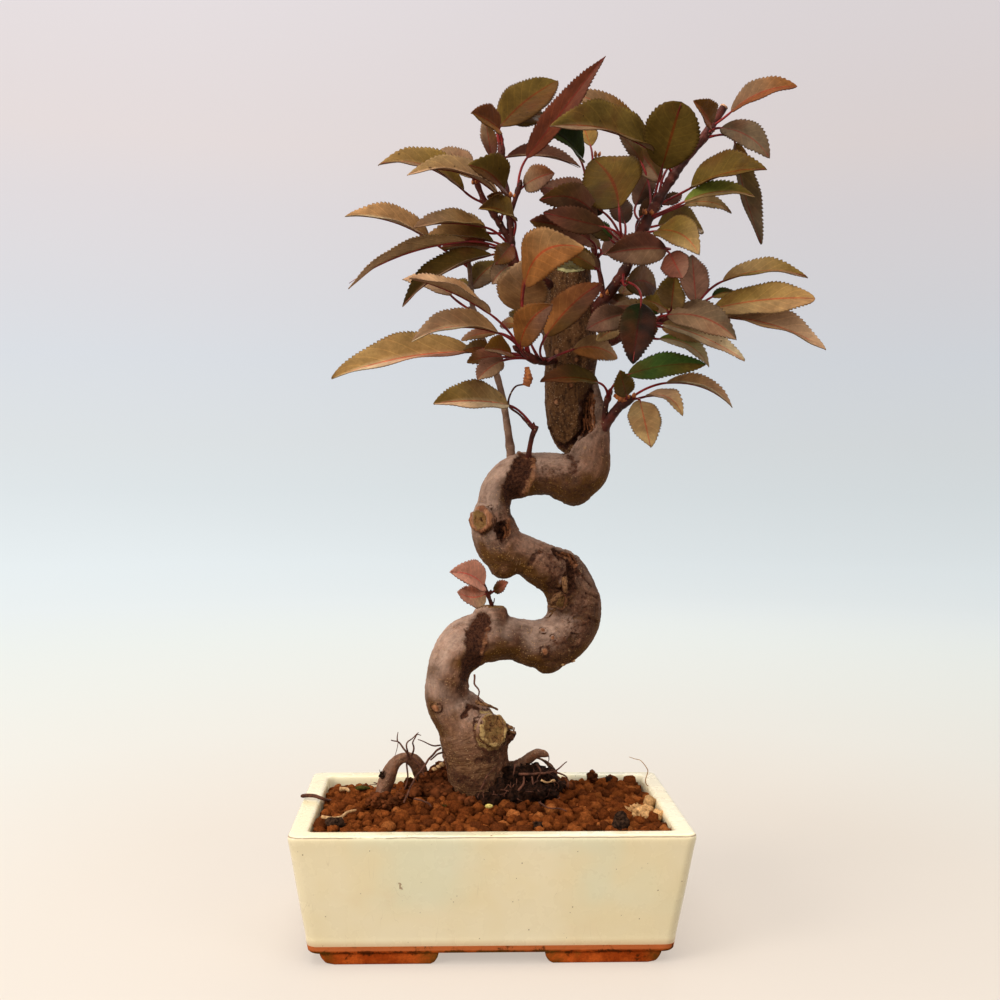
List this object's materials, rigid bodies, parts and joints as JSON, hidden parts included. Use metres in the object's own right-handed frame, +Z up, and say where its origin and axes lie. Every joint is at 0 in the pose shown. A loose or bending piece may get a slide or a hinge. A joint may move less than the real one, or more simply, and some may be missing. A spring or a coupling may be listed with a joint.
{
  "type": "potted apple bonsai",
  "caption": "Apple bonsai with a winding trunk, purple-olive serrated leaves on leafy shoots and a sawn stub, growing in clay granules in a pale glazed rectangular pot on low corner feet.",
  "frame": {"origin": "on the surface that the pot's feet stand on, under the middle of the whole object's box", "axes": "+Z up, +X to the viewer's right along the pot's long side, +Y away from the viewer along its short side"},
  "size_m": [0.243, 0.1484, 0.41],
  "materials": {
    "glaze": "gloss",
    "soil": "matte",
    "bark": "satin",
    "leaves": "satin"
  },
  "bodies": {
    "root": {"pot": "glaze", "soil": "soil", "trunk": "bark", "left_whip": "leaves", "left_spray": "leaves", "red_spur": "leaves", "right_branch": "leaves", "right_twig": "leaves", "knee_branch": "leaves", "forked_spur": "leaves", "low_shoot": "leaves", "back_top": "leaves", "back_right": "leaves", "back_left": "leaves"}
  },
  "joints": []
}
